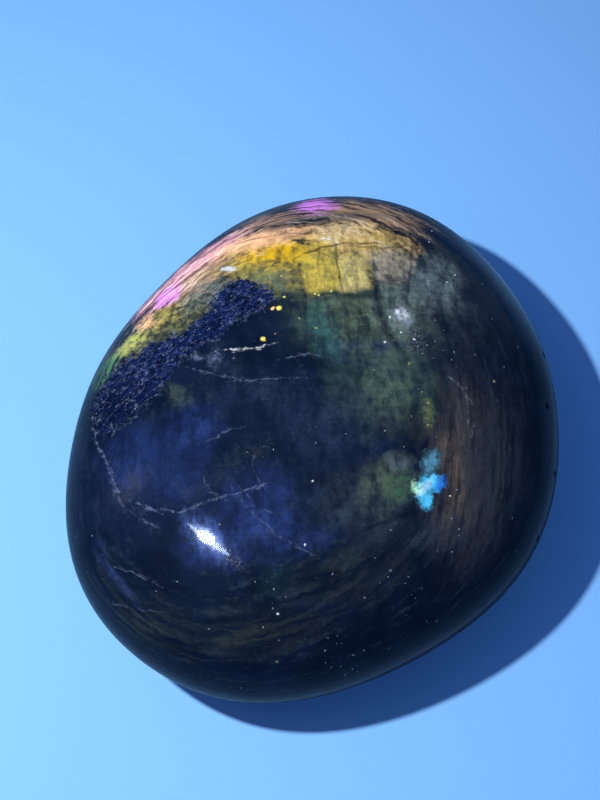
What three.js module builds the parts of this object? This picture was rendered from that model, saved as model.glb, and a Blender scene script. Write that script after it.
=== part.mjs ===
// A polished labradorite palm stone: one smooth pebble, a rounded oval in plan, domed above its
// girth and shallower below it, with a small flat on its underside that it rests on.
// Millimetres, +Z up. The origin is on the rest flat, at the centre of the stone's plan box.
// +X is to the right and +Y away from a person who looks down on the stone's bright face.
import * as THREE from "three";
import { mergeVertices } from "three/addons/utils/BufferGeometryUtils.js";

// Driving dimensions of the girth, the widest outline seen from above. It is a circle of the
// mean radius, drawn out and dented by lobes: two make it oval, three make it egg-shaped, four
// give it straighter flanks, and the rest even them out. A lobe's share is of the mean radius,
// and a lobe points to its own number of degrees, counted from +X towards +Y.
const GIRTH_MEAN_RADIUS = 31.6;
const GIRTH_LOBES = [
  { count: 2, share: 0.0813, pointsTo: 60.0 },
  { count: 3, share: 0.021, pointsTo: -28.6 },
  { count: 4, share: 0.0175, pointsTo: -22.4 },
  { count: 5, share: 0.003, pointsTo: 22.6 },
  { count: 6, share: 0.0041, pointsTo: 41.4 },
];

// Driving dimensions of the side view.
const GIRTH_HEIGHT = 12.5; // from the rest flat up to the girth
const DOME_HEIGHT = 14.3; // from the girth up to the top
const UNDERSIDE_DEPTH = 13.2; // what the underside would reach with no rest flat ground on it
const FULLNESS = 2.25; // 2 would be an ellipse in side view, and more is fuller in the shoulders

// Hand polishing leaves a stone very slightly uneven. Each roll is a long, low wave across it.
const ROLLS = [
  { height: 0.22, length: 41, across: [0.82, 0.53, 0.2], start: 0.6 },
  { height: 0.18, length: 33, across: [-0.35, 0.9, 0.26], start: 2.1 },
  { height: 0.12, length: 24, across: [0.66, -0.6, 0.45], start: 4.0 },
];

// Each side of the twenty-sided ball that the surface starts from is cut into this many.
const CUTS_PER_SIDE = 16;

// The girth's radius in the direction of an angle in radians.
function girthRadius(angle) {
  const lobes = GIRTH_LOBES.map(({ count, share, pointsTo }) =>
    share * Math.cos(count * (angle - THREE.MathUtils.degToRad(pointsTo))));
  return GIRTH_MEAN_RADIUS * lobes.reduce((sum, lobe) => sum + lobe, 1);
}

// How far out a point is, as a share of the way to the stone's surface. It is measured from the
// middle of the girth.
function shareOfTheWayOut(point) {
  const radius = girthRadius(Math.atan2(point.y, point.x));
  const height = point.z > 0 ? DOME_HEIGHT : UNDERSIDE_DEPTH;
  const sideways = Math.hypot(point.x, point.y) / radius;
  const upright = Math.abs(point.z) / height;
  return (sideways ** FULLNESS + upright ** FULLNESS) ** (1 / FULLNESS);
}

// The height of the polishing rolls at a point of the surface.
function rollHeight(point) {
  return ROLLS.reduce((sum, { height, length, across, start }) => {
    const way = point.dot(new THREE.Vector3(...across).normalize());
    return sum + height * Math.sin((2 * Math.PI * way) / length + start);
  }, 0);
}

// Moves a point of the unit ball onto the stone's surface.
function ontoStone(point) {
  const height = point.z > 0 ? DOME_HEIGHT : UNDERSIDE_DEPTH;
  point.multiply(new THREE.Vector3(GIRTH_MEAN_RADIUS, GIRTH_MEAN_RADIUS, height));
  point.divideScalar(shareOfTheWayOut(point));
  point.multiplyScalar(1 + rollHeight(point) / point.length());
  point.z = Math.max(point.z + GIRTH_HEIGHT, 0); // the rest flat is ground at z = 0
  return point;
}

// The closed surface of the stone, centred over the origin.
function stoneGeometry() {
  const ball = new THREE.IcosahedronGeometry(1, CUTS_PER_SIDE - 1);
  ball.deleteAttribute("normal");
  ball.deleteAttribute("uv");
  const surface = mergeVertices(ball, 1e-5);
  const position = surface.getAttribute("position");
  for (let i = 0; i < position.count; i++) {
    const { x, y, z } = ontoStone(new THREE.Vector3().fromBufferAttribute(position, i));
    position.setXYZ(i, x, y, z);
  }
  surface.computeBoundingBox();
  const middle = surface.boundingBox.getCenter(new THREE.Vector3());
  surface.translate(-middle.x, -middle.y, 0);
  surface.computeVertexNormals();
  return surface;
}

const labradorite = new THREE.MeshStandardMaterial({
  name: "labradorite",
  color: 0x1c2230,
  roughness: 0.12,
  metalness: 0,
});

const stone = new THREE.Mesh(stoneGeometry(), labradorite);
stone.name = "stone";

const palmStone = new THREE.Group();
palmStone.add(stone);

export default palmStone;
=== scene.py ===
# %% [markdown]
# # A polished labradorite palm stone
#
# Labradorite is a dark feldspar that is built of countless thin sheets. Light that bounces off
# the sheets comes back in colour, as gold, rose, green and blue flashes deep in the stone. This
# lesson makes the pebble's surface with its rough vein and its chipped rim as a mesh, and then
# paints the sheets, flashes, cracks and sparks with a node material.

# %% Tools and the solid model
import math
from types import SimpleNamespace

import bmesh
import bpy
import numpy as np
from mathutils import Matrix
from mathutils.bvhtree import BVHTree


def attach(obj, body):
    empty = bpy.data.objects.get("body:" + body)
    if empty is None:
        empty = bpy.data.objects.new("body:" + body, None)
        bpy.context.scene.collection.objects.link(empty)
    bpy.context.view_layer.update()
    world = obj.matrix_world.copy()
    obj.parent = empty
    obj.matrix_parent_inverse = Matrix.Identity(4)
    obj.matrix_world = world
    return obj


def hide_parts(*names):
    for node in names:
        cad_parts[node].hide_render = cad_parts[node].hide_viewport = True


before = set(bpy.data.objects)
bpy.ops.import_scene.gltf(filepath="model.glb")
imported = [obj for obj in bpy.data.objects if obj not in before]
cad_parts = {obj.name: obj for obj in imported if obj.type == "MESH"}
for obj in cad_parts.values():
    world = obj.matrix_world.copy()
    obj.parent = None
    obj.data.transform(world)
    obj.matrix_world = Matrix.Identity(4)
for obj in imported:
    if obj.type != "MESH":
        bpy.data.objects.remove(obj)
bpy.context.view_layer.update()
MM = 0.001  # the scene is in metres, and the stone's own sizes are in millimetres

# %% [markdown]
# ## The camera
#
# The stone is seen from 65 degrees above, from 183 mm away. The camera comes first, because the
# markings are placed by looking through it: a pixel of the picture becomes a ray, and the ray
# ends on the stone.

# %% The camera's place and view
PICTURE_MIDDLE = np.array([300.0, 400.0])
PICTURE_HEIGHT = 800
CAMERA_ELEVATION = math.radians(65)
CAMERA_DISTANCE = 183
CAMERA_LOOKS_AT = np.array([-1.81, 4.85, 12.5])
FOCAL_PIXELS = 1450  # a thing that is as wide as it is far away spans this many pixels
SENSOR = 36

VIEW_AHEAD = np.array([0, math.cos(CAMERA_ELEVATION), -math.sin(CAMERA_ELEVATION)])
VIEW_RIGHT = np.array([1.0, 0.0, 0.0])
VIEW_UP = np.cross(VIEW_RIGHT, VIEW_AHEAD)
CAMERA_PLACE = CAMERA_LOOKS_AT - CAMERA_DISTANCE * VIEW_AHEAD


def make_camera():
    lens = bpy.data.cameras.new("camera")
    lens.sensor_width = SENSOR
    lens.lens = FOCAL_PIXELS / PICTURE_HEIGHT * SENSOR
    lens.clip_start = 0.01
    camera = bpy.data.objects.new("camera", lens)
    turned = Matrix((VIEW_RIGHT, VIEW_UP, -VIEW_AHEAD)).transposed().to_4x4()
    camera.matrix_world = Matrix.Translation(CAMERA_PLACE * MM) @ turned
    bpy.context.scene.collection.objects.link(camera)
    bpy.context.scene.camera = camera
    print(f"the lens is {lens.lens:.0f} mm")


make_camera()

# %% [markdown]
# ## Writing nodes as sums
#
# The pebble's shape takes about a hundred nodes and its material two thousand, and a drawing of so
# many can't be read. Here a small class wraps an output socket, so that `1 - mask * 0.5` adds its
# Math nodes by itself. Another class holds the tree, and one method of it adds any kind of node.

# %% A socket that can be reckoned with
class Wire:
    """One output socket of a node tree."""

    def __init__(self, recipe, socket):
        self.recipe = recipe
        self.socket = socket

    def maths(self, operation, *others):
        inputs = dict(enumerate((self, *others)))
        return self.recipe.add("ShaderNodeMath", {"operation": operation}, inputs)

    def __add__(self, other):
        return self.maths("ADD", other)

    def __sub__(self, other):
        return self.maths("SUBTRACT", other)

    def __rsub__(self, other):
        return (self * -1) + other

    def __mul__(self, other):
        return self.maths("MULTIPLY", other)

    def __truediv__(self, other):
        return self.maths("DIVIDE", other)

    def __pow__(self, other):
        return self.maths("POWER", other)

    __radd__ = __add__
    __rmul__ = __mul__

    def larger(self, other):
        return self.maths("MAXIMUM", other)


# %% A tree that is being written
class Recipe:
    """A node tree of a shape or of a material."""

    def __init__(self, tree):
        self.tree = tree

    def add(self, kind, settings=None, inputs=None, output=0):
        """Adds a node, sets it up, fills or links its inputs and returns one of its outputs."""
        node = self.tree.nodes.new(kind)
        for name, value in (settings or {}).items():
            setattr(node, name, value)
        for name, value in (inputs or {}).items():
            if isinstance(value, Wire):
                self.tree.links.new(value.socket, node.inputs[name])
            else:
                node.inputs[name].default_value = value
        return Wire(self, node.outputs[output]) if node.outputs else None

    def vector(self, operation, *inputs, output=0, **named):
        return self.add("ShaderNodeVectorMath", {"operation": operation},
                        dict(enumerate(inputs)) | named, output)

    def axes(self, place):
        return [self.add("ShaderNodeSeparateXYZ", None, {0: place}, axis) for axis in "XYZ"]

    def step(self, value, low, high, to_low=0.0, to_high=1.0):
        """Runs smoothly from to_low to to_high while value goes from low to high."""
        return self.add("ShaderNodeMapRange", {"interpolation_type": "SMOOTHSTEP", "clamp": False},
                        {"Value": value, "From Min": low, "From Max": high,
                         "To Min": to_low, "To Max": to_high})

    def noise(self, place, size, detail=3.0, roughness=0.55, output=0):
        """Cloudy noise with lumps of about that size, mostly between 0.3 and 0.7."""
        return self.add("ShaderNodeTexNoise", None,
                        {"Vector": place, "Scale": 1 / size, "Detail": detail, "Roughness": roughness},
                        output)


# %% [markdown]
# ## The shape of the pebble
#
# A pebble could be sculpted by hand, but this one follows a rule, the same as the solid model, so
# Geometry Nodes can make it from a ball. Lobes push and pull a circle into the girth's outline, a
# power curve rounds it over into a dome and an underside, and three long low waves are the
# unevenness that hand polishing leaves.

# %% The pebble's driving sizes
PEBBLE_SIZES = {
    "Mean radius": 31.57,  # like the dome's height, a hair under the solid model's
    "Girth height": 12.5,
    "Dome height": 14.28,
    "Underside depth": 13.2,
    "Fullness": 2.25,
    "Vein depth": 0.16,
    "Vein grain": 0.35,
    "Chip depth": 0.22,
}
GIRTH_LOBES = (  # how many, what share of the radius, and the degrees that one points to
    (2, 0.0813, 60.0),
    (3, 0.021, -28.6),
    (4, 0.0175, -22.4),
    (5, 0.003, 22.6),
    (6, 0.0041, 41.4),
)
ROLLS = (  # height, length, the way across, and where the wave starts
    (0.22, 41, (0.82, 0.53, 0.2), 0.6),
    (0.18, 33, (-0.35, 0.9, 0.26), 2.1),
    (0.12, 24, (0.66, -0.6, 0.45), 4.0),
)


# %% The rule of the shape
def pebble_place(recipe, size):
    """Where a point of the unit ball goes, in millimetres from the middle of the girth."""
    ball = recipe.add("GeometryNodeInputPosition")
    upper = recipe.axes(ball)[2].maths("GREATER_THAN", 0)
    height = size["Underside depth"] + upper * (size["Dome height"] - size["Underside depth"])
    sizes = {0: size["Mean radius"], 1: size["Mean radius"], 2: height}
    place = recipe.vector("MULTIPLY", ball, recipe.add("ShaderNodeCombineXYZ", None, sizes))
    x, y, z = recipe.axes(place)
    angle = y.maths("ARCTAN2", x)
    lobes = 1
    for count, share, points_to in GIRTH_LOBES:
        lobes = lobes + share * ((angle - math.radians(points_to)) * count).maths("COSINE")
    sideways = (x * x + y * y).maths("SQRT") / (size["Mean radius"] * lobes)
    upright = z.maths("ABSOLUTE") / height
    fullness = size["Fullness"]
    inwards = fullness**-1 * -1
    place = recipe.vector("SCALE", place, Scale=(sideways**fullness + upright**fullness) ** inwards)
    roll = 0
    for high, length, across, start in ROLLS:
        across = np.array(across) / np.linalg.norm(across)
        way = recipe.vector("DOT_PRODUCT", place, across, output=1)
        roll = roll + high * (way * (2 * math.pi / length) + start).maths("SINE")
    far = recipe.vector("LENGTH", place, output=1)
    return recipe.vector("SCALE", place, Scale=1 + roll / far)


# %% [markdown]
# ## The rough vein and the chips
#
# A dull vein of dark grains crosses the flash, where the stone never took a polish. It lies a
# little lower than the polished face and has a grainy floor. The rim has a few small chips. A bump
# in the material would leave the outline smooth, so both are real relief that the shape's nodes
# press in. Two attributes of the mesh say where: how far a point is from the vein's outline, and
# how deep in a chip it is.

# %% The vein's ragged edge
VEIN_WANDER = 5.0  # millimetres that noise may move the vein's edge, from one extreme to the other
VEIN_BANK = 0.5  # millimetres over which the vein's edge comes down to its floor
VEIN_LUMPS = 1.5  # the size of the largest bays and headlands of that edge


def vein_mask(recipe, place, from_vein):
    """1 on the rough vein and 0 on polished stone."""
    wander = (recipe.noise(place, VEIN_LUMPS, 6.0, 0.75) - 0.5) * VEIN_WANDER
    return recipe.step(from_vein + wander, -VEIN_BANK / 2, VEIN_BANK / 2, 1, 0)


# %% The tree of the shape
def pebble_tree():
    tree = bpy.data.node_groups.new("pebble", "GeometryNodeTree")
    face = tree.interface
    face.new_socket("Geometry", in_out="INPUT", socket_type="NodeSocketGeometry")
    for name, value in PEBBLE_SIZES.items():
        face.new_socket(name, in_out="INPUT", socket_type="NodeSocketFloat").default_value = value
    face.new_socket("Finish", in_out="INPUT", socket_type="NodeSocketMaterial")
    face.new_socket("Geometry", in_out="OUTPUT", socket_type="NodeSocketGeometry")
    recipe = Recipe(tree)
    size = {s.name: Wire(recipe, s) for s in tree.nodes.new("NodeGroupInput").outputs if s.name}

    def moved(piece, **where):
        return recipe.add("GeometryNodeSetPosition", None, {"Geometry": piece} | where)

    x, y, z = recipe.axes(pebble_place(recipe, size))
    above_rest_flat = (z + size["Girth height"]).larger(0)
    pebble = moved(size["Geometry"],
                   Position=recipe.add("ShaderNodeCombineXYZ", None, {0: x, 1: y, 2: above_rest_flat}))
    low, high = (recipe.add("GeometryNodeBoundBox", None, {0: pebble}, end) for end in ("Min", "Max"))
    middle = recipe.vector("MULTIPLY", recipe.vector("ADD", low, high), (-0.5, -0.5, 0))
    pebble = moved(pebble, Offset=middle)

    place = recipe.add("GeometryNodeInputPosition")
    from_vein, chip = (recipe.add("GeometryNodeInputNamedAttribute", None, {"Name": name})
                       for name in ("from_vein", "chip"))
    grain = recipe.noise(place, 0.6, 4.0, 0.7) - 0.5
    vein = vein_mask(recipe, place, from_vein) * (size["Vein depth"] + size["Vein grain"] * grain)
    sunk = recipe.vector("SCALE", recipe.add("GeometryNodeInputNormal"),
                         Scale=-1 * (vein + chip * size["Chip depth"]))
    pebble = moved(pebble, Offset=sunk)

    metres = recipe.add("GeometryNodeTransform", None, {"Geometry": pebble, "Scale": (MM, MM, MM)})
    real = recipe.add("GeometryNodeRealizeInstances", None, {0: metres})
    finished = recipe.add("GeometryNodeSetMaterial", None, {"Geometry": real, "Material": size["Finish"]})
    tree.links.new(finished.socket, tree.nodes.new("NodeGroupOutput").inputs[0])
    print("the shape has", len(tree.nodes), "nodes")
    return tree


# %% [markdown]
# A ball of small triangles is the start, because its triangles are all about as large, where a
# globe of rings would crowd them at the poles.

# %% The ball that becomes the stone
BALL_CUTS = 7
ATTRIBUTES = ("from_vein", "chip")
FAR_AWAY = 99.0


def make_ball(finish):
    mesh = bpy.data.meshes.new("polished_stone")
    ball = bmesh.new()
    bmesh.ops.create_icosphere(ball, subdivisions=BALL_CUTS, radius=1)
    ball.to_mesh(mesh)
    ball.free()
    for name in ATTRIBUTES:
        mesh.attributes.new(name, "FLOAT", "POINT")
    mesh.attributes["from_vein"].data.foreach_set("value", np.full(len(mesh.vertices), FAR_AWAY))
    stone = bpy.data.objects.new("polished_stone", mesh)
    bpy.context.scene.collection.objects.link(stone)
    modifier = stone.modifiers.new("pebble", "NODES")
    modifier.node_group = pebble_tree()
    sockets = {s.name: s.identifier for s in modifier.node_group.interface.items_tree}
    for name, value in PEBBLE_SIZES.items():
        modifier[sockets[name]] = value
    modifier[sockets["Finish"]] = finish
    return stone


labradorite = bpy.data.materials.new("labradorite")
stone = make_ball(labradorite)
as_made = stone.evaluated_get(bpy.context.evaluated_depsgraph_get())
face_tree = BVHTree.FromObject(as_made, bpy.context.evaluated_depsgraph_get())
print("the ball has", len(stone.data.polygons), "triangles, and the stone measures",
      [round(x / MM, 2) for x in as_made.dimensions], "mm")

# %% [markdown]
# ## Between the picture and the stone
#
# A search tree of the stone's faces answers where a ray of the camera lands. The other way round
# is the plain rule of a pinhole camera.

# %% From a pixel to the stone and back
STONE_MIDDLE = np.array([312.0, 450.0])
SLIDE = 0.01  # a pixel just past the outline slides inwards by this share until it lands


def on_stone(pixel):
    """The place in millimetres, and the normal, that a pixel of the picture shows."""
    right, down = pixel - PICTURE_MIDDLE
    ray = VIEW_AHEAD * FOCAL_PIXELS + VIEW_RIGHT * right - VIEW_UP * down
    place, normal, _, _ = face_tree.ray_cast(CAMERA_PLACE * MM, ray / np.linalg.norm(ray))
    if place is None:
        return on_stone(pixel + (STONE_MIDDLE - pixel) * SLIDE)
    return np.array(place) / MM, np.array(normal)


def to_pixels(places):
    """The pixels of the picture that show places given in millimetres."""
    away = places - CAMERA_PLACE
    sideways = np.stack([away @ VIEW_RIGHT, -(away @ VIEW_UP)], -1)
    return PICTURE_MIDDLE + FOCAL_PIXELS * sideways / (away @ VIEW_AHEAD)[..., None]


# %% [markdown]
# The triangles are split in four, and in four again, under the vein and the chips only. So fine a
# mesh all over would have more than a million triangles, and the polished face has nothing for it
# to show.

# %% Where the relief is
VEIN_OUTLINE = (
    (237, 277), (256, 284), (275, 291), (266, 304), (243, 318), (219, 336), (205, 345), (176, 362),
    (160, 393), (144, 405), (117, 429), (97, 437), (92, 424), (98, 396), (106, 374), (123, 361),
    (150, 345), (184, 331), (204, 314), (217, 293),
)
CHIPS = (  # pixel of the picture, and radius in millimetres
    ((544, 355), 0.45),
    ((547, 406), 0.45),
    ((555, 474), 0.5),
    ((538, 539), 0.6),
    ((508, 600), 0.5),
    ((461, 630), 0.6),
)
FINE_CUTS = 2
FINE_MARGIN = 1.2  # millimetres beyond the vein's outline that are cut finer too
FINE_CHIP = -2  # the same for the chips, in their own measure: 1 in the middle and 0 at the edge
PIXEL = CAMERA_DISTANCE / FOCAL_PIXELS  # what a pixel spans on the stone where it faces the camera


def outside_outline(pixels, outline):
    """How many pixels each point lies outside a closed outline, negative inside it."""
    nearest = np.full(len(pixels), np.inf)
    inside = np.zeros(len(pixels), bool)
    for a, b in zip(outline, np.roll(outline, -1, axis=0)):
        side = b - a
        share = np.clip((pixels - a) @ side / (side @ side), 0, 1)
        nearest = np.minimum(nearest, np.linalg.norm(pixels - a - share[:, None] * side, axis=1))
        level = pixels[:, 1]
        crossing = a[0] + (level - a[1]) * side[0] / side[1]
        inside ^= ((a[1] > level) != (b[1] > level)) & (pixels[:, 0] < crossing)
    return np.where(inside, -nearest, nearest)


def relief():
    """The values of the two attributes at each point of the ball."""
    made = stone.evaluated_get(bpy.context.evaluated_depsgraph_get()).data
    places, normals = np.empty((2, len(made.vertices), 3), np.float32)
    made.vertices.foreach_get("co", places.reshape(-1))
    made.vertex_normals.foreach_get("vector", normals.reshape(-1))
    places = places / MM
    seen = np.einsum("ij,ij->i", normals, CAMERA_PLACE - places) > 0
    from_vein = np.full(len(places), FAR_AWAY)
    from_vein[seen] = PIXEL * outside_outline(to_pixels(places[seen]), np.array(VEIN_OUTLINE, float))
    chip = np.full(len(places), -FAR_AWAY)
    for pixel, radius in CHIPS:
        away = np.linalg.norm(places - on_stone(pixel)[0], axis=1) / radius
        chip = np.maximum(chip, 1 - away**2)
    return from_vein, chip


# %% Cutting finer
def cut_finer():
    from_vein, chip = relief()
    wanted = (from_vein < FINE_MARGIN) | (chip > FINE_CHIP)
    ball = bmesh.new()
    ball.from_mesh(stone.data)
    edges = [e for e in ball.edges if wanted[e.verts[0].index] or wanted[e.verts[1].index]]
    bmesh.ops.subdivide_edges(ball, edges=edges, cuts=1, use_grid_fill=True)
    bmesh.ops.triangulate(ball, faces=[f for f in ball.faces if len(f.verts) > 3])
    for point in ball.verts:
        point.co.normalize()
    ball.to_mesh(stone.data)
    ball.free()


for _ in range(FINE_CUTS):
    cut_finer()
from_vein, chip = relief()
stone.data.attributes["from_vein"].data.foreach_set("value", from_vein)
stone.data.attributes["chip"].data.foreach_set("value", np.maximum(chip, 0))
print("the ball now has", len(stone.data.polygons), "triangles")

# %% [markdown]
# ## Clouds and sheets
#
# Everything in the stone is either cloudy or layered. Clouds are plain noise, bent by other noise
# so that they look stirred. Layers are noise that is drawn out along a plane. Most of them lie
# nearly level, so that they come out on the dome as lines that follow the rim. Other sets stand
# upright or lean, and come out as streaks and veils.

# %% The noises that all markings share
SHEETS = {  # the turn in degrees, and how much longer than thick the sheets are along each axis
    "level": ((3, -7, 0), (14, 14, 1)),
    "upright": ((0, 0, 3), (1, 14, 14)),
    "across": ((0, 0, 4), (14, 1, 14)),
    "leaning": ((0, 35, 0), (1, 14, 14)),
    "veils": ((0, 0, 8), (1, 2.6, 1.6)),
}


def make_ground(recipe):
    """The places and noises that the markings are made with."""
    place = recipe.vector("SCALE", recipe.add("ShaderNodeTexCoord", output=3), Scale=1 / MM)

    def stirred(size, far, detail):
        push = recipe.vector("SUBTRACT", recipe.noise(place, size, detail, output=1), (0.5, 0.5, 0.5))
        return recipe.vector("ADD", place, recipe.vector("SCALE", push, Scale=2 * far))

    def sheets(source, size, way):
        turn, stretch = SHEETS[way]
        flat = recipe.add("ShaderNodeMapping", {"vector_type": "TEXTURE"},
                          {"Vector": source, "Rotation": tuple(map(math.radians, turn)), "Scale": stretch})
        return recipe.noise(flat, size, 4.0, 0.6)

    ground = SimpleNamespace(place=place)
    ground.soft = stirred(6.0, 3.5, 4.0)
    ground.ragged = stirred(2.4, 1.1, 4.0)
    ground.wavy = stirred(1.8, 0.4, 4.0)
    ground.jagged = stirred(0.8, 0.45, 4.0)
    ground.crumbly = stirred(0.35, 0.25, 3.0)
    ground.cloud = recipe.noise(ground.soft, 5.0, 6.0, 0.65)
    ground.smudge = recipe.noise(ground.ragged, 1.1, 6.0, 0.7)
    ground.rough = recipe.noise(ground.wavy, 0.7, 6.0, 0.75)
    ground.speckle = recipe.noise(place, 0.3, 4.0, 0.7)
    ground.fine_sheets = sheets(ground.wavy, 0.36, "level")
    ground.broad_sheets = sheets(ground.ragged, 1.2, "level")
    upright = sheets(ground.wavy, 0.5, "upright")
    across = sheets(ground.ragged, 0.9, "across")
    lined = recipe.step(upright, 0.34, 0.6, 0.65, 1)
    crossed = recipe.step(across, 0.34, 0.62, 0.65, 1)
    veil = sheets(ground.wavy, 1.3, "veils") + (ground.smudge - 0.5) * 0.35
    patchy = recipe.step(veil, 0.34, 0.62, 0.3, 1)
    ground.looks = {  # ways to break a patch up, each 1 where the patch shows in full
        "plain": 1,
        "lined": lined,
        "flaked": lined * patchy * 0.5 + lined * recipe.step(ground.rough, 0.4, 0.58, 0.2, 0.5),
        "woven": patchy * crossed * recipe.step(upright, 0.34, 0.6, 0.8, 1),
        "leaning": recipe.step(sheets(ground.wavy, 0.6, "leaning"), 0.36, 0.62, 0.25, 1),
        "soft": recipe.step(recipe.noise(ground.wavy, 1.3, 5.0, 0.6), 0.3, 0.66, 0.5, 1),
        "cloud": patchy,
        "rough": recipe.step(ground.rough, 0.38, 0.58, 0.15, 1),
        "sheet": recipe.step(ground.fine_sheets, 0.36, 0.6, 0.15, 1),
        "streak": recipe.step(ground.fine_sheets, 0.54, 0.64),
        "seam": recipe.step(ground.fine_sheets, 0.38, 0.46, 1, 0),
        "gaps": recipe.step(ground.smudge, 0.42, 0.56, 1, 0),
        "grain": recipe.step(ground.speckle, 0.5, 0.62),
    }
    return ground


# %% [markdown]
# Feldspar splits along two sets of planes that cross almost squarely. Under the polish they show
# as fine dark lines. Such a line is where a noise, drawn out along the crack, passes its middle
# value, and another noise leaves only some stretches of the lines.

# %% The web of cracks
CRACK_SPACING = 2.4
CRACK_STRETCH = 10.0
CRACK_WIDTH = 0.02  # in the noise's own measure


def crack_web(recipe, ground):
    """1 on the web's lines, 0 between them."""
    web = None
    for along in (0, 1):
        drawn_out = [1.0, 1.0, 1.0]
        drawn_out[along] = 1 / CRACK_STRETCH
        squeezed = recipe.vector("MULTIPLY", ground.wavy, tuple(drawn_out))
        near = (recipe.noise(squeezed, CRACK_SPACING, 2.0, 0.5) - 0.5).maths("ABSOLUTE")
        near = recipe.step(near, 0, CRACK_WIDTH, 1, 0)
        web = near if web is None else web.larger(near)
    return web * recipe.step(ground.smudge, 0.42, 0.6)


# %% [markdown]
# ## Lenses
#
# A flash is painted as lenses, and a crack as a row of them. A lens is a patch that is long one
# way and narrow the other, and fades out across its edge. In a table it is two pixels of the
# picture, its ends, and half its width in pixels. On the curved stone such a patch is an ellipse
# of another shape, and where the stone turns away from the camera it is much longer. The sizes
# and the turn of that ellipse come from a singular value decomposition of how a step on the stone
# moves the pixel.

# %% A lens on the stone
LENS_DEPTH = 7.0  # how far a lens reaches under and over the surface, so that it ends inside
LONGEST = 16.0  # half the length of the longest lens
PROBE = 0.05  # the step on the stone whose two pixels are compared


def ellipse_on_stone(start, end, half_width):
    """The middle of the ellipse that looks as asked in the picture, and its three axes."""
    start, end = np.array(start, float), np.array(end, float)
    place, up = on_stone((start + end) / 2)
    sideways = np.cross(up, VIEW_AHEAD)
    sideways /= np.linalg.norm(sideways)
    tangents = np.stack([sideways, np.cross(up, sideways)])
    moves = ((to_pixels(place + PROBE * tangents) - to_pixels(place)) / PROBE).T
    length = np.linalg.norm(end - start)
    along = (end - start) / length if length else np.array([1.0, 0.0])
    turn = np.array([along, (-along[1], along[0])])
    shrink = np.diag([1 / max(length / 2, half_width), 1 / half_width])
    turned, shares, axes = np.linalg.svd(shrink @ turn @ moves)
    flat_axes = turned @ np.diag(np.maximum(shares, 1 / LONGEST)) @ axes @ tangents
    return place, (*flat_axes, up / LENS_DEPTH)


def lens(recipe, source, start, end, half_width, soft=0.6, square=False, fray=None):
    """1 in the middle of a patch of the picture, a half at its edge and 0 outside it.

    A square lens has its shares of the way out cubed, which makes its sides straight. A fray is a
    noise around zero that moves the edge in and out.
    """
    middle, axes = ellipse_on_stone(start, end, half_width)
    away = recipe.vector("SUBTRACT", source, middle)
    shares = {i: recipe.vector("DOT_PRODUCT", away, axis, output=1) for i, axis in enumerate(axes)}
    inside = recipe.add("ShaderNodeCombineXYZ", None, shares)
    if square:
        inside = recipe.vector("MULTIPLY", inside, recipe.vector("MULTIPLY", inside, inside))
    share_of_the_way_out = recipe.vector("LENGTH", inside, output=1)
    if fray:
        share_of_the_way_out = share_of_the_way_out + fray
    return recipe.step(share_of_the_way_out, 1 - soft, 1 + soft, 1, 0)


# %% A bent line of lenses
OVERLAP = 0.25  # what share of its length a lens of a line reaches into the next
LINE_SOFTNESS = 0.9


def line(recipe, source, pixels, half_width, fray=None):
    """1 on a bent line through some pixels of the picture."""
    mask = None
    for start, end in zip(pixels, pixels[1:]):
        reach = (np.array(end) - start) * OVERLAP
        one = lens(recipe, source, start - reach, end + reach, half_width, LINE_SOFTNESS, fray=fray)
        mask = one if mask is None else mask.larger(one)
    return mask


# %% [markdown]
# ## Colours
#
# A colour is written as it reads on a screen, from 0 to 255, and turned to the linear light that
# Blender reckons with. Most of the stone is nearly black.

# %% The colours by name
def blend(recipe, amount, under, over):
    """Lays one colour over another."""
    return recipe.add("ShaderNodeMix", {"data_type": "RGBA"}, {0: amount, 6: under, 7: over}, output=2)


def linear(red, green, blue):
    share = np.array([red, green, blue]) / 255
    light = np.where(share <= 0.04045, share / 12.92, ((share + 0.055) / 1.055) ** 2.4)
    return (*light, 1.0)


COLOURS = {
    "ink": linear(3, 12, 30),
    "shadow": linear(24, 20, 24),
    "night": linear(13, 25, 48),
    "navy": linear(22, 33, 62),
    "denim": linear(36, 47, 72),
    "haze_and_glint_halo": linear(37, 56, 110),
    "painted_glint_glow": linear(96, 120, 190),
    "painted_glint_core": linear(184, 204, 244),
    "mist": linear(104, 116, 148),
    "slate": linear(48, 58, 70),
    "olive": linear(40, 48, 46),
    "soil": linear(46, 51, 60),
    "umber": linear(80, 77, 74),
    "bronze": linear(174, 140, 106),
    "moss": linear(88, 104, 84),
    "sea": linear(54, 102, 98),
    "fog": linear(126, 142, 140),
    "mauve_and_glint_tail": linear(166, 156, 136),
    "sage": linear(128, 128, 84),
    "mustard": linear(198, 176, 72),
    "gold": linear(222, 176, 24),
    "wheat": linear(220, 200, 122),
    "straw": linear(224, 188, 108),
    "lemon": linear(236, 222, 100),
    "cream": linear(252, 228, 196),
    "peach": linear(254, 196, 146),
    "rose": linear(250, 178, 188),
    "magenta": linear(232, 140, 236),
    "tan": linear(188, 148, 122),
    "lime": linear(196, 198, 106),
    "leaf": linear(72, 124, 84),
    "mint": linear(190, 240, 190),
    "sky": linear(84, 200, 244),
    "lagoon": linear(88, 148, 172),
    "azure": linear(30, 110, 220),
    "chalk": linear(216, 220, 226),
    "milk": linear(122, 132, 142),
    "pit": linear(3, 8, 30),
    "crumb": linear(28, 46, 98),
    "lavender": linear(136, 146, 176),
}
print("the stone has", len(COLOURS), "colours")

# %% [markdown]
# ## The dark body
#
# Wide soft patches give each part of the body its tone: navy to the left, moss and sea green
# under the flash, umber along the right flank.

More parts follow.
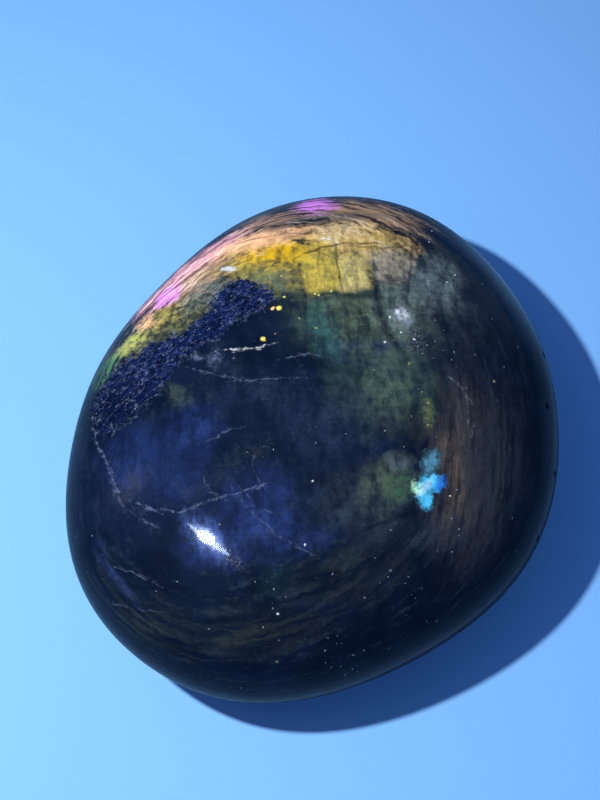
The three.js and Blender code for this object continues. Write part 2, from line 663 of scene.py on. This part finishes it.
# %% The body's patches
BODY_PATCHES = (  # start and end pixel, half width in pixels, softness, colour, strength, look
    ((150, 430), (150, 505), 34, 0.9, "haze_and_glint_halo", 0.95, "lined"),
    ((185, 405), (200, 440), 22, 0.9, "haze_and_glint_halo", 0.8, "cloud"),
    ((84, 500), (160, 530), 26, 0.8, "navy", 0.55, "soft"),
    ((215, 385), (340, 400), 30, 0.9, "denim", 0.75, "woven"),
    ((168, 388), (186, 396), 8, 0.9, "moss", 0.4, "rough"),
    ((118, 505), (150, 470), 12, 0.9, "umber", 0.35, "cloud"),
    ((290, 420), (375, 440), 28, 0.9, "denim", 0.7, "cloud"),
    ((225, 505), (320, 525), 34, 0.9, "haze_and_glint_halo", 0.9, "cloud"),
    ((320, 495), (395, 520), 28, 0.9, "slate", 1, "cloud"),
    # Painted highlight: a blue halo around the glint. Elsewhere the same colour is the stone's own blue
    # haze.
    ((190, 526), (228, 556), 24, 0.9, "haze_and_glint_halo", 0.9, "cloud"),
    ((278, 496), (290, 510), 10, 0.9, "haze_and_glint_halo", 0.6, "plain"),
    ((440, 290), (480, 350), 40, 0.8, "slate", 0.7, "cloud"),
    ((300, 310), (420, 322), 40, 0.7, "moss", 1, "woven"),
    ((412, 268), (456, 296), 26, 0.7, "fog", 1, "woven"),
    ((386, 284), (404, 334), 15, 0.8, "fog", 0.65, "woven"),
    ((322, 305), (330, 365), 15, 0.8, "sea", 0.9, "cloud"),
    ((340, 378), (420, 388), 20, 0.8, "sea", 0.5, "cloud"),
    ((340, 380), (430, 400), 30, 0.8, "moss", 0.8, "woven"),
    ((330, 350), (384, 352), 9, 0.9, "haze_and_glint_halo", 0.45, "sheet"),
    ((365, 495), (412, 488), 20, 0.8, "moss", 0.75, "cloud"),
    ((392, 462), (406, 458), 12, 0.7, "fog", 0.45, "cloud"),
    ((466, 380), (464, 545), 30, 0.7, "umber", 0.85, "leaning"),
    ((504, 390), (488, 545), 26, 0.8, "soil", 0.95, "leaning"),
    ((453, 440), (453, 505), 9, 0.8, "bronze", 0.2, "leaning"),
    ((300, 580), (400, 568), 22, 0.8, "olive", 0.7, "sheet"),
    ((200, 636), (320, 628), 20, 0.8, "olive", 0.8, "sheet"),
    ((100, 575), (170, 640), 22, 0.8, "olive", 0.8, "sheet"),
    ((96, 552), (128, 602), 8, 0.9, "haze_and_glint_halo", 0.5, "sheet"),
    ((266, 562), (284, 584), 14, 0.8, "sea", 0.2, "rough"),
    ((385, 548), (470, 526), 14, 0.8, "slate", 0.7, "sheet"),
    ((268, 300), (290, 340), 16, 0.8, "night", 0.9, "cloud"),
    ((280, 366), (340, 362), 9, 0.8, "ink", 0.8, "cloud"),
    ((422, 446), (436, 442), 7, 0.7, "ink", 0.9, "cloud"),
    ((120, 400), (165, 400), 16, 0.8, "ink", 0.5, "cloud"),
)
print(len(BODY_PATCHES), "patches tone the body")

# %% [markdown]
# The picture says nothing of the underside. There the tones come from noise alone, with a few
# small flashes, and they fade in across the outline that the camera sees.

# %% The hidden side
HIDDEN_SIDE = (0.0, 0.084, -0.996)  # straight away from the plane that the outline lies in
HIDDEN_BEFORE = 3  # millimetres in front of that plane where the hidden side starts to fade in
HIDDEN_BEHIND = 4  # millimetres behind it where it has faded in
HIDDEN_EDGE = 0.1  # how soft the clouds' edges are, in the noise's own measure
HIDDEN_TONES = (  # size of the clouds, the noise's shift, where a cloud starts, colour, strength, look
    (8.0, 30, 0.45, "slate", 0.8, "cloud"),
    (6.0, 60, 0.5, "haze_and_glint_halo", 0.7, "sheet"),
    (7.0, 90, 0.5, "umber", 0.8, "sheet"),
    (7.0, 120, 0.55, "sea", 0.7, "sheet"),
    (5.0, 150, 0.6, "azure", 0.3, "rough"),
    (5.0, 180, 0.6, "gold", 0.5, "sheet"),
)


def lay_hidden_side(recipe, ground, colour):
    from_girth = recipe.vector("SUBTRACT", ground.soft, (0, 0, PEBBLE_SIZES["Girth height"]))
    depth = recipe.vector("DOT_PRODUCT", from_girth, HIDDEN_SIDE, output=1)
    hidden = recipe.step(depth, -HIDDEN_BEFORE, HIDDEN_BEHIND)
    for size, shift, start, tint, strength, look in HIDDEN_TONES:
        shifted = recipe.vector("ADD", ground.soft, (shift, shift, shift))
        cloud = recipe.step(recipe.noise(shifted, size, 2.0, 0.6), start, start + HIDDEN_EDGE)
        colour = blend(recipe, hidden * cloud * (ground.looks[look] * strength), colour, COLOURS[tint])
    return colour


# %% [markdown]
# ## The flash
#
# The flash runs through the spectrum from the rim inwards: magenta and rose, peach, gold, lime
# and at last green. A second small one, sky blue, glows by itself at the right. Each colour ends
# sheet by sheet, so the noise of the sheets frays the patches' edges.

# %% The patches of the flash
SHEET_FRAY = 1.8  # by how many half widths a patch's edge moves as the sheets' noise goes from 0 to 1
CLOUD_FRAY = 1.8  # the same for a cloudy noise
FLASH_PATCHES = (
    ((100, 372), (150, 312), 12, 0.6, "soil", 0.9, "sheet"),
    ((240, 226), (330, 204), 12, 0.5, "umber", 0.95, "sheet"),
    ((320, 204), (420, 222), 12, 0.5, "bronze", 0.9, "sheet"),
    ((400, 222), (440, 246), 9, 0.7, "umber", 0.4, "sheet"),
    ((120, 352), (215, 286), 16, 0.6, "sage", 0.6, "rough"),
    ((148, 304), (240, 248), 14, 0.5, "tan", 0.75, "soft"),
    ((148, 324), (180, 304), 9, 0.6, "mustard", 0.5, "rough"),
    ((215, 268), (316, 274), 14, 0.6, "mustard", 0.85, "flaked"),
    ((240, 278), (300, 286), 12, 0.6, "moss", 0.85, "rough"),
    ((182, 306), (230, 276), 9, 0.7, "fog", 0.5, "rough"),
    ((296, 234), (404, 242), 16, 0.5, "straw", 0.95, "flaked"),
    ((366, 262), (410, 264), 16, 0.6, "mauve_and_glint_tail", 0.9, "flaked"),
    ((294, 258), (334, 246), 14, 0.7, "mustard", 0.85, "flaked"),
    ((316, 230), (362, 228), 8, 0.7, "cream", 0.3, "rough"),
    ((240, 252), (312, 250), 12, 0.6, "gold", 0.9, "cloud"),
    ((135, 342), (234, 284), 14, 0.7, "olive", 0.8, "gaps"),
    ((236, 270), (312, 276), 14, 0.7, "soil", 0.6, "gaps"),
    ((205, 258), (245, 246), 7, 0.6, "straw", 0.7, "sheet"),
    ((138, 314), (178, 280), 7, 0.6, "rose", 0.8, "sheet"),
    ((163, 285), (242, 232), 6.5, 0.5, "rose", 1, "sheet"),
    ((222, 249), (302, 229), 8, 0.6, "peach", 1, "soft"),
    ((240, 231), (296, 214), 6, 0.7, "tan", 0.7, "sheet"),
    ((154, 306), (178, 287), 6.5, 0.4, "magenta", 1, "soft"),
    ((138, 327), (154, 318), 6, 0.6, "peach", 0.75, "rough"),
    ((116, 355), (144, 334), 5.5, 0.6, "lime", 0.8, "rough"),
    ((96, 384), (120, 352), 6, 0.7, "leaf", 0.7, "sheet"),
    ((262, 226), (372, 212), 4, 0.6, "soil", 0.85, "sheet"),
    ((298, 206), (334, 203), 5.5, 0.6, "magenta", 0.95, "sheet"),
    ((140, 316), (240, 236), 9, 0.6, "cream", 0.8, "streak"),
    ((250, 236), (410, 226), 12, 0.6, "cream", 0.35, "streak"),
    ((130, 330), (240, 246), 18, 0.6, "shadow", 0.5, "seam"),
    ((240, 226), (410, 216), 12, 0.6, "shadow", 0.5, "seam"),
)
BLOCKS = (  # gold that cracks bound on all sides, so these lenses are square
    ((352, 254), (357, 290), 17, 0.7, "wheat", 0.95, "flaked"),
    ((320, 256), (325, 288), 19, 0.7, "mustard", 0.95, "flaked"),
)
print(len(FLASH_PATCHES) + len(BLOCKS), "patches make the large flash")

# %% The small flash, the glint's painted halo and other small marks
GRAIN_FRAY = 2.0  # by how many half widths a grainy noise moves their edges
SMALL_PATCHES = (
    ((310, 262), (366, 264), 20, 0.6, "umber", 0.4, "gaps"),
    # Painted highlight: a pale glow around the glint, its white core and the far end of its tail.
    ((190, 520), (226, 556), 11, 0.9, "painted_glint_glow", 0.5, "cloud"),
    ((200, 530), (216, 546), 5, 0.9, "painted_glint_core", 0.8, "soft"),
    ((216, 549), (241, 566), 4, 0.9, "mauve_and_glint_tail", 0.35, "grain"),
    ((392, 494), (416, 480), 11, 0.9, "leaf", 0.32, "rough"),
    ((427, 473), (434, 452), 8, 0.7, "lagoon", 0.85, "flaked"),
    ((418, 488), (441, 480), 8, 0.5, "sky", 1, "soft"),
    ((422, 486), (427, 508), 7, 0.5, "sky", 1, "soft"),
    ((437, 490), (443, 477), 4.5, 0.7, "azure", 0.9, "soft"),
    ((414, 482), (420, 494), 4, 0.8, "mint", 0.8, "rough"),
    ((419, 494), (431, 482), 3, 0.9, "cream", 0.4, "soft"),
    ((221, 269), (235, 268), 2.8, 0.4, "chalk", 1, "soft"),
    ((395, 308), (411, 322), 8, 0.5, "milk", 0.95, "rough"),
    ((397, 310), (407, 317), 5, 0.5, "chalk", 0.7, "rough"),
    ((392, 322), (420, 346), 12, 0.8, "milk", 0.5, "grain"),
    ((428, 398), (429, 426), 6, 0.8, "leaf", 0.2, "rough"),
    ((428, 402), (429, 424), 4.5, 0.9, "sage", 0.35, "rough"),
    ((190, 355), (202, 358), 3.5, 0.8, "mist", 0.6, "rough"),
    ((212, 366), (217, 352), 6, 0.8, "mist", 0.5, "rough"),
)


# %% Laying patches
def lay_patches(recipe, ground, colour, patches, source, square=False, fray=None):
    for start, end, half_width, soft, tint, strength, look in patches:
        mask = lens(recipe, source, start, end, half_width, soft, square, fray)
        colour = blend(recipe, mask * (ground.looks[look] * strength), colour, COLOURS[tint])
    return colour


# %% [markdown]
# ## Cracks and sparks
#
# Dark cracks cut the gold into blocks. Other cracks have healed, and the mineral in them is pale
# and flaky, so a rough noise makes them now wide and now narrow. Sparks are single grains that
# happen to face the light.

# %% Dark cracks and healed ones
CRACKS = (  # pixels, half width in pixels, colour, strength
    (((300, 256), (322, 247), (345, 243), (372, 243)), 1.0, "shadow", 0.85),
    (((358, 246), (384, 248), (409, 245)), 0.8, "shadow", 0.7),
    (((236, 243), (268, 236), (302, 233)), 0.6, "shadow", 0.6),
    (((335, 246), (338, 268), (344, 294)), 1.0, "shadow", 0.8),
    (((319, 250), (318, 268)), 0.9, "shadow", 0.45),
    (((354, 250), (357, 274)), 0.7, "shadow", 0.4),
    (((366, 264), (374, 286), (380, 308), (386, 328), (400, 350)), 3.6, "ink", 0.85),
    (((412, 246), (411, 266), (408, 290)), 1.6, "ink", 0.7),
    (((438, 300), (444, 326), (450, 352)), 2.4, "ink", 0.5),
    (((424, 276), (428, 296), (427, 312)), 1.6, "ink", 0.4),
    (((343, 300), (348, 326)), 1.8, "ink", 0.4),
    (((305, 300), (306, 326)), 1.8, "ink", 0.4),
    (((300, 294), (330, 294), (370, 296)), 1.6, "ink", 0.6),
    (((303, 579), (351, 571)), 2.0, "ink", 0.8),
    (((303, 596), (337, 586)), 2.0, "ink", 0.8),
    (((292, 624), (340, 611)), 2.0, "ink", 0.7),
    (((200, 622), (262, 614)), 2.0, "ink", 0.6),
    (((78, 524), (92, 544), (110, 562), (132, 585)), 2.4, "ink", 0.7),
    (((132, 585), (172, 592), (217, 599)), 2.0, "ink", 0.7),
    (((366, 529), (390, 520), (416, 512)), 2.4, "ink", 0.7),
)
FLAKE_FRAY = 5.0  # how unevenly wide a healed crack is
HEALED_CRACKS = (
    (((230, 350), (248, 349), (268, 345)), 0.6, "chalk", 0.7),
    (((190, 368), (222, 376), (246, 380), (283, 378)), 0.6, "mist", 0.4),
    (((291, 357), (306, 354), (321, 356)), 0.6, "mist", 0.4),
    (((94, 430), (98, 446), (106, 462), (114, 484)), 0.8, "mist", 0.5),
    (((112, 486), (120, 502), (133, 514), (150, 524)), 0.8, "mist", 0.35),
    (((102, 452), (112, 470), (118, 492)), 0.6, "mist", 0.3),
    (((136, 503), (152, 509), (178, 511)), 0.9, "mist", 0.5),
    (((190, 508), (212, 500), (242, 492), (262, 484)), 0.8, "mist", 0.45),
    (((205, 480), (212, 492), (222, 498)), 0.6, "mist", 0.3),
    (((262, 484), (252, 468), (254, 456)), 0.6, "mist", 0.3),
    (((240, 497), (254, 514), (278, 536), (304, 550)), 0.8, "mist", 0.35),
    (((246, 494), (258, 507), (270, 512)), 0.6, "mist", 0.3),
    (((212, 439), (226, 431), (240, 427)), 0.6, "mist", 0.4),
    (((467, 400), (469, 416), (468, 424)), 0.9, "milk", 0.45),
    (((473, 428), (471, 437)), 0.8, "milk", 0.4),
    (((452, 380), (460, 386), (468, 398)), 1.0, "milk", 0.4),
    (((110, 566), (130, 572), (160, 586)), 0.6, "mist", 0.35),
    (((114, 603), (125, 607), (150, 611)), 0.6, "mist", 0.35),
)


def lay_lines(recipe, colour, lines, source, broken, fray=None):
    for pixels, half_width, tint, strength in lines:
        mask = line(recipe, source, pixels, half_width, fray)
        colour = blend(recipe, mask * (broken * strength), colour, COLOURS[tint])
    return colour


print(len(CRACKS), "dark cracks and", len(HEALED_CRACKS), "healed ones")


# %% Sparks
SPARKS = (  # radius in pixels, colour, and the pixels
    (2.2, "chalk", ((323, 238), (329, 239), (397, 312))),
    (1.4, "chalk", ((390, 317), (401, 332), (414, 339), (385, 342), (312, 481), (305, 545), (450, 496),
                    (447, 282), (455, 275), (432, 231), (429, 242), (278, 614))),
    (1.0, "milk", ((418, 347), (427, 345), (443, 330), (433, 358), (443, 350), (454, 352), (475, 355),
                   (518, 347), (504, 367), (422, 392), (411, 416), (385, 431), (404, 447), (346, 434),
                   (457, 490), (452, 518), (459, 529), (459, 535), (452, 552), (255, 582), (274, 589),
                   (286, 597), (263, 627), (328, 638), (325, 651), (326, 663), (345, 675), (241, 688),
                   (408, 577), (388, 577), (482, 284), (374, 370), (177, 582), (92, 536))),
    (3.4, "lemon", ((279, 308), (263, 339))),
    (2.4, "peach", ((272, 309), (273, 308))),
    (1.2, "tan", ((275, 334),)),
    (1.6, "lime", ((284, 297), (281, 276), (304, 277), (326, 283), (331, 291), (315, 294), (319, 295))),
    (1.8, "sage", ((299, 318), (316, 328), (409, 363), (428, 403), (428, 425), (494, 381), (277, 662))),
)
SPARK_CORE = 0.3  # the share of a spark's radius that has its full colour
SPARK_CELL = 0.6  # millimetres from one of the places where a tiny spark may be to the next
SPARK_CHANCE = 0.97  # a tiny spark shows where its own random number is higher than this
SPARK_CROWDING = 0.35  # what the middle of a cloud of sparks adds to that number
SPARK_CLOUDS = (  # start and end pixel, and half width
    ((392, 330), (470, 362), 20),
    ((476, 384), (500, 400), 12),
    ((375, 580), (440, 610), 22),
    ((320, 640), (350, 680), 16),
    ((262, 580), (284, 600), 12),
)


def lay_sparks(recipe, ground, colour):
    for radius, tint, pixels in SPARKS:
        nearest = FAR_AWAY
        for pixel in pixels:
            distance = recipe.vector("DISTANCE", ground.crumbly, on_stone(np.array(pixel))[0], output=1)
            nearest = distance.maths("MINIMUM", nearest)
        mask = recipe.step(nearest, SPARK_CORE * radius * PIXEL, radius * PIXEL, 1, 0)
        colour = blend(recipe, mask, colour, COLOURS[tint])
    cells = {"Vector": ground.crumbly, "Scale": 1 / SPARK_CELL}
    near = recipe.add("ShaderNodeTexVoronoi", None, cells, "Distance")
    draws = Wire(recipe, near.socket.node.outputs["Color"])  # random numbers, the same all over a cell
    chosen, bright = (recipe.add("ShaderNodeSeparateColor", None, {0: draws}, channel)
                      for channel in ("Red", "Green"))
    crowd = None
    for start, end, half_width in SPARK_CLOUDS:
        one = lens(recipe, ground.ragged, start, end, half_width, 0.8)
        crowd = one if crowd is None else crowd.larger(one)
    shown = recipe.step(chosen + crowd * SPARK_CROWDING, SPARK_CHANCE, SPARK_CHANCE + 0.01)
    mask = recipe.step(near, 0.08, 0.22, 1, 0) * bright * shown
    return blend(recipe, mask, colour, COLOURS["milk"])


# %% [markdown]
# The rough vein is a mass of dark grains with a thin pale net between them. Its colours have
# noises of their own, drawn out along the vein, and at the far end the grains turn to fibres.

# %% The vein's grains
VEIN_ENDS = ((105, 420), (265, 290))
VEIN_FAR_END = ((90, 430), (140, 390), 26, 0.9)  # a lens over its lower left
GRAIN_SIZE = 0.5
NET_SPACING = 1.1
NET_WIDTH = 0.025  # of the pale net between the grains, in the noise's own measure


def lay_vein(recipe, ground, colour, vein):
    start, end = (on_stone(np.array(pixel, float))[0] for pixel in VEIN_ENDS)
    along = (start - end) / np.linalg.norm(start - end)
    run = recipe.vector("DOT_PRODUCT", ground.crumbly, along, output=1)

    def drawn_out(share):
        back = recipe.vector("SCALE", tuple(along), Scale=run * -share)
        return recipe.vector("ADD", ground.crumbly, back)

    crumbs = recipe.noise(drawn_out(0.3), GRAIN_SIZE, 6.0, 0.85)
    fibres = recipe.noise(drawn_out(0.8), GRAIN_SIZE, 6.0, 0.8)
    far_end = lens(recipe, ground.ragged, *VEIN_FAR_END)
    crumbs = crumbs + (fibres - crumbs) * far_end
    grains = blend(recipe, recipe.step(crumbs, 0.4, 0.64), COLOURS["pit"], COLOURS["crumb"])
    grains = blend(recipe, far_end * 0.55, grains, COLOURS["pit"])
    grains = blend(recipe, recipe.step(ground.smudge, 0.38, 0.56, 0.7, 0), grains, COLOURS["pit"])
    glints = recipe.step(ground.speckle, 0.58, 0.68) * recipe.step(crumbs, 0.48, 0.58)
    glints = glints * recipe.step(ground.smudge, 0.4, 0.6, 0.1, 0.8)
    grains = blend(recipe, glints, grains, COLOURS["lavender"])
    ridges = (recipe.noise(drawn_out(0.6), NET_SPACING, 3.0, 0.6) - 0.5).maths("ABSOLUTE")
    net = recipe.step(ridges, 0, NET_WIDTH, 1, 0) * recipe.step(ground.rough, 0.42, 0.6)
    grains = blend(recipe, net * 0.5, grains, COLOURS["lavender"])
    colour = blend(recipe, vein, colour, grains)
    edge = vein * (1 - vein) * recipe.step(ground.rough, 0.46, 0.6)
    return blend(recipe, edge, colour, COLOURS["lavender"])


# %% [markdown]
# ## The material
#
# The colours are laid over one another like coats of paint: the dark body, then the flash, then
# cracks and sparks, and the vein and the chips last.

# %% The dark body, its layers and its flecks
DARK_LAYERS = {"broad_sheets": 0.45, "fine_sheets": 0.25, "smudge": 0.35}  # the most that each darkens
WEB_STRENGTH = 0.35
FLECK_STRENGTH = 0.3


def paint_body(recipe, ground):
    colour = blend(recipe, recipe.step(ground.cloud, 0.35, 0.68), COLOURS["ink"], COLOURS["night"])
    colour = lay_hidden_side(recipe, ground, colour)
    colour = lay_patches(recipe, ground, colour, BODY_PATCHES, ground.soft)
    for name, most in DARK_LAYERS.items():
        shade = recipe.step(getattr(ground, name), 0.34, 0.6, most, 0)
        colour = blend(recipe, shade, colour, COLOURS["ink"])
    colour = blend(recipe, crack_web(recipe, ground) * WEB_STRENGTH, colour, COLOURS["ink"])
    flecks = recipe.step(ground.rough * 0.4 + ground.fine_sheets * 0.6, 0.515, 0.65, 0, FLECK_STRENGTH)
    return blend(recipe, flecks, colour, COLOURS["slate"])


# %% The flash, the cracks and the sparks
def paint_marks(recipe, ground, colour):
    layered = (0.5 - ground.fine_sheets) * SHEET_FRAY + (0.5 - ground.smudge) * CLOUD_FRAY
    colour = lay_patches(recipe, ground, colour, FLASH_PATCHES, ground.wavy, fray=layered)
    colour = lay_patches(recipe, ground, colour, BLOCKS, ground.wavy, square=True)
    grainy = (0.5 - ground.rough) * GRAIN_FRAY
    colour = lay_patches(recipe, ground, colour, SMALL_PATCHES, ground.jagged, fray=grainy)
    broken = recipe.step(ground.smudge, 0.36, 0.54, 0.15, 1)
    colour = lay_lines(recipe, colour, CRACKS, ground.wavy, broken)
    crumbled = recipe.step(ground.rough, 0.36, 0.56)
    crumbled = crumbled * recipe.step(ground.smudge, 0.4, 0.58, 0.2, 1)
    flaky = (0.5 - ground.rough) * FLAKE_FRAY
    colour = lay_lines(recipe, colour, HEALED_CRACKS, ground.jagged, crumbled, flaky)
    return lay_sparks(recipe, ground, colour)


# %% [markdown]
# The polish is a coat that stays smooth over the bumps of the base, as the clear top of the
# feldspar does over its sheets. A coat as strong as the mineral's would mirror more of the plain
# surroundings and pale the dark colours, so this one is weaker. On the vein and in the chips there
# is hardly any of it.

# %% The labradorite
COAT_WEIGHT = 0.24
BEST_POLISH = ((430, 232), (530, 330), 26, 0.6)  # a lens along the rim where the coat is strongest
BEST_POLISH_GAIN = 0.7
POLISH = {"Coat Roughness": 0.045, "Coat IOR": 1.33, "Specular IOR Level": 0.03}
BUMP_DEPTH = 0.3


def write_labradorite():
    labradorite.use_nodes = True
    labradorite.node_tree.nodes.clear()
    recipe = Recipe(labradorite.node_tree)
    ground = make_ground(recipe)
    from_vein, chip = (recipe.add("ShaderNodeAttribute", {"attribute_name": name}, output="Fac")
                       for name in ATTRIBUTES)
    vein = vein_mask(recipe, ground.place, from_vein)
    colour = paint_marks(recipe, ground, paint_body(recipe, ground))
    colour = lay_vein(recipe, ground, colour, vein)
    # Painted shade: the chips' hollows are darkened towards ink.
    colour = blend(recipe, chip * 0.8, colour, COLOURS["ink"])
    matt = vein.larger(chip)
    best_polish = lens(recipe, ground.place, *BEST_POLISH)
    height = ground.fine_sheets * 0.5 + ground.speckle * (matt * 2 + 0.1)
    relief_of_base = {"Strength": 0.5, "Distance": BUMP_DEPTH * MM, "Height": height}
    shader = recipe.add("ShaderNodeBsdfPrincipled", None, POLISH | {
        "Base Color": colour,
        "Roughness": recipe.step(ground.smudge, 0.2, 0.8, 0.42, 0.6) + matt * 0.15,
        "Normal": recipe.add("ShaderNodeBump", None, relief_of_base),
        "Coat Weight": (COAT_WEIGHT + BEST_POLISH_GAIN * best_polish) * (1 - matt * 0.9),
    })
    recipe.add("ShaderNodeOutputMaterial", None, {"Surface": shader})
    print("the labradorite has", len(recipe.tree.nodes), "nodes")


write_labradorite()

# %% The finished stone
def finish_stone():
    made = stone.evaluated_get(bpy.context.evaluated_depsgraph_get())
    mesh = bpy.data.meshes.new_from_object(made)
    stone.modifiers.clear()
    stone.data = mesh
    mesh.shade_smooth()
    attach(stone, "root")
    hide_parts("stone")
    print("the finished stone has", len(mesh.polygons), "triangles")


finish_stone()

# %% [markdown]
# ## The light and the floor
#
# A lamp stands at the left, some 17 cm above the floor. It is small, so the shadow is crisp, and
# it is near, so the shadow is larger than the stone. The polish doesn't mirror it.

# %% The key lamp
KEY_PLACE = np.array([-75.0, -20.0, 174.5])
KEY_STRENGTH = 3.6  # watts that it sends onto a square metre at the foot of the stone
KEY_RADIUS = 4.0


def make_key():
    lamp = bpy.data.lights.new("key", "POINT")
    lamp.shadow_soft_size = KEY_RADIUS * MM
    lamp.energy = KEY_STRENGTH * 4 * math.pi * (KEY_PLACE @ KEY_PLACE) * MM**2
    light = bpy.data.objects.new("key", lamp)
    light.location = KEY_PLACE * MM
    light.visible_glossy = False
    bpy.context.scene.collection.objects.link(light)
    print(f"the key lamp gives {lamp.energy:.1f} watts")


make_key()

# %% [markdown]
# The glint and its thin tail are the mirror images of two long lamps. They light nothing else,
# because their diffuse light is switched off. Their places are worked out: the polished face
# mirrors both ends of a lamp into the camera, each at its own pixel. The pale halo around the
# glint and the far end of its tail are painted highlight in the stone's colour.

# %% The glint
GLINTS = (  # the end pixels, how many times longer than wide, and watts per square metre and steradian
    (((200, 531), (213, 543)), 1.9, 400),
    (((188, 525), (228, 555)), 10.0, 150),
)
GLINT_COLOUR = (0.6, 0.75, 1.0)
GLINT_DISTANCE = 500


def mirrored_in_stone(pixel):
    """The place far from the stone that its polished face mirrors into the camera at a pixel."""
    place, normal = on_stone(np.array(pixel, float))
    to_camera = CAMERA_PLACE - place
    to_camera /= np.linalg.norm(to_camera)
    return place + GLINT_DISTANCE * (2 * (normal @ to_camera) * normal - to_camera)


def make_glint(pixels, slimness, radiance):
    start, end = map(mirrored_in_stone, pixels)
    place = (start + end) / 2
    towards = place / np.linalg.norm(place)
    along = end - start
    length = np.linalg.norm(along)
    along -= (along @ towards) * towards
    along /= np.linalg.norm(along)
    lamp = bpy.data.lights.new("glint", "AREA")
    lamp.shape = "ELLIPSE"
    lamp.size = length * MM
    lamp.size_y = lamp.size / slimness
    lamp.energy = radiance * math.pi * (math.pi / 4 * lamp.size * lamp.size_y)
    lamp.color = GLINT_COLOUR
    light = bpy.data.objects.new("glint", lamp)
    turned = Matrix((along, np.cross(towards, along), towards)).transposed().to_4x4()
    light.matrix_world = Matrix.Translation(place * MM) @ turned
    light.visible_diffuse = False
    bpy.context.scene.collection.objects.link(light)
    print("a glint's lamp is", round(length), "mm long and stands towards", towards.round(2))


for pixels, slimness, radiance in GLINTS:
    make_glint(pixels, slimness, radiance)

# %% [markdown]
# A pale sheet lies under the stone, so large that its edge is far off even in a low view. A dim
# sky fills the shadows.

# %% Floor and sky
FLOOR_HALF = 30.0  # metres from its middle to its edge
FLOOR_COLOUR = linear(128, 184, 240)
SKY_COLOUR = (0.28, 0.5, 1.0, 1)
SKY_STRENGTH = 0.36


def make_floor():
    mesh = bpy.data.meshes.new("floor")
    corners = [(-1, -1), (1, -1), (1, 1), (-1, 1)]
    mesh.from_pydata([(x * FLOOR_HALF, y * FLOOR_HALF, 0) for x, y in corners], [], [(0, 1, 2, 3)])
    floor = bpy.data.objects.new("floor", mesh)
    bpy.context.scene.collection.objects.link(floor)
    sheet = bpy.data.materials.new("pale_sheet")
    sheet.use_nodes = True
    sheet.node_tree.nodes.clear()
    recipe = Recipe(sheet.node_tree)
    shader = recipe.add("ShaderNodeBsdfPrincipled", None,
                        {"Base Color": FLOOR_COLOUR, "Roughness": 0.9, "Specular IOR Level": 0.2})
    recipe.add("ShaderNodeOutputMaterial", None, {"Surface": shader})
    mesh.materials.append(sheet)


def make_sky():
    world = bpy.data.worlds.new("sky")
    world.use_nodes = True
    background = world.node_tree.nodes["Background"]
    background.inputs["Color"].default_value = SKY_COLOUR
    background.inputs["Strength"].default_value = SKY_STRENGTH
    bpy.context.scene.world = world


make_floor()
make_sky()
bpy.context.scene.view_settings.view_transform = "Standard"
print("the floor is", 2 * FLOOR_HALF, "m wide")
